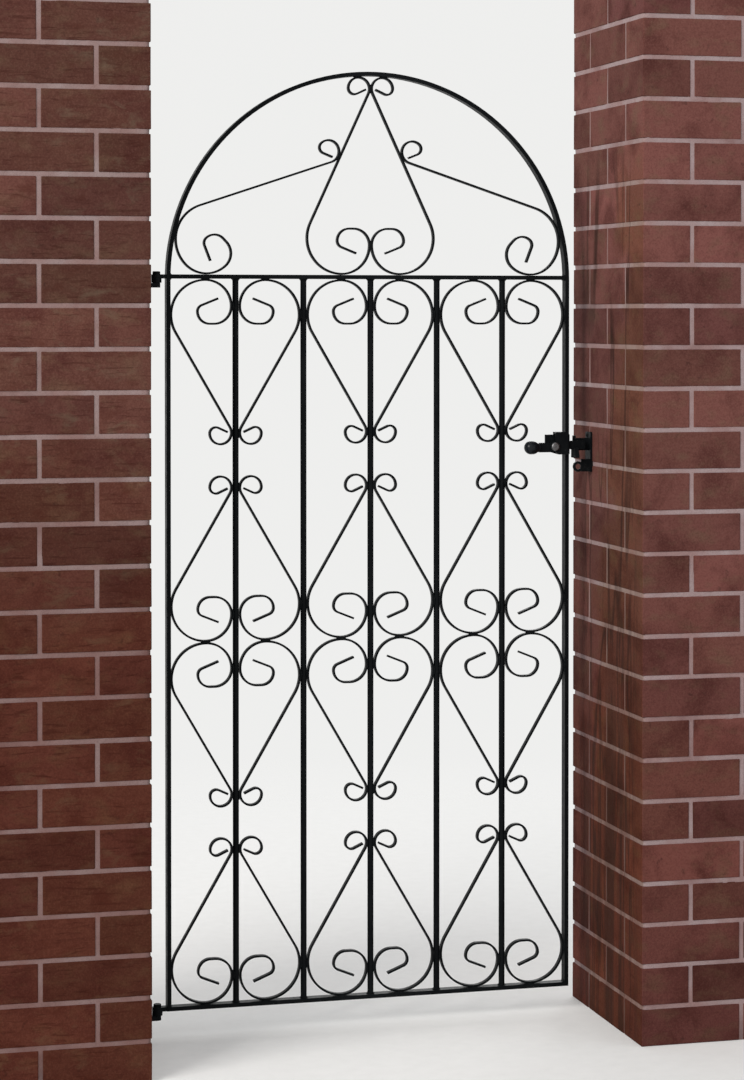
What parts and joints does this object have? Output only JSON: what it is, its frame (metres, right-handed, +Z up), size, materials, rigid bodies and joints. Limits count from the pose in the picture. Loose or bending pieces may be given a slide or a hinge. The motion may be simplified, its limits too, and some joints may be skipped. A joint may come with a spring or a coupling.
{
  "type": "bow-top metal garden gate between brick piers",
  "caption": "Tall bow-top garden gate of painted steel bars and curled flat-strip scrolls, hinged on one square brick pier and latched by a drop lever on the other.",
  "frame": {"origin": "on the ground, midway between the two piers and midway through their depth", "axes": "+X from the hinge pier to the latch pier, +Y away from the side that the latch is worked from, +Z up"},
  "size_m": [1.767, 0.41, 2.123],
  "materials": {
    "brick": "matte fired clay",
    "mortar": "matte",
    "gate_paint": "satin black paint",
    "fitting_paint": "satin black paint",
    "bright_steel": "dull bright steel",
    "knob_plastic": "glossy black"
  },
  "bodies": {
    "posts": {"left_pier": "brick", "right_pier": "brick", "hinge_plate_upper": "fitting_paint", "hinge_hook_upper": "fitting_paint", "hinge_plate_lower": "fitting_paint", "hinge_hook_lower": "fitting_paint", "latch_keeper": "fitting_paint"},
    "gate": {"hinge_stile": "gate_paint", "latch_stile": "gate_paint", "bow_top": "gate_paint", "mid_rail": "gate_paint", "bottom_rail": "gate_paint", "infill_bar_1": "gate_paint", "infill_bar_2": "gate_paint", "infill_bar_3": "gate_paint", "infill_bar_4": "gate_paint", "infill_bar_5": "gate_paint", "scroll_pair_1_1": "gate_paint", "scroll_pair_1_2": "gate_paint", "scroll_pair_1_3": "gate_paint", "scroll_pair_1_4": "gate_paint", "scroll_pair_2_1": "gate_paint", "scroll_pair_2_2": "gate_paint", "scroll_pair_2_3": "gate_paint", "scroll_pair_2_4": "gate_paint", "scroll_pair_3_1": "gate_paint", "scroll_pair_3_2": "gate_paint", "scroll_pair_3_3": "gate_paint", "scroll_pair_3_4": "gate_paint", "spade_scroll_left": "gate_paint", "spade_scroll_right": "gate_paint", "side_scroll_left": "gate_paint", "side_scroll_right": "gate_paint", "hinge_eye_upper": "gate_paint", "hinge_eye_lower": "gate_paint", "latch_housing": "fitting_paint", "latch_pivot": "bright_steel"},
    "latch_lever": {"lever_bar": "fitting_paint", "lever_knob": "knob_plastic"}
  },
  "joints": [
    {"name": "gate_swing", "type": "hinge", "parent": "posts", "child": "gate", "pos_m": [-0.4085, 0.107, 1.47], "axis": [0, 0, -1], "range_deg": [0, 90]},
    {"name": "latch_lift", "type": "hinge", "parent": "gate", "child": "latch_lever", "pos_m": [0.3935, 0.088, 1.138], "axis": [0, -1, 0], "range_deg": [0, 15]}
  ]
}
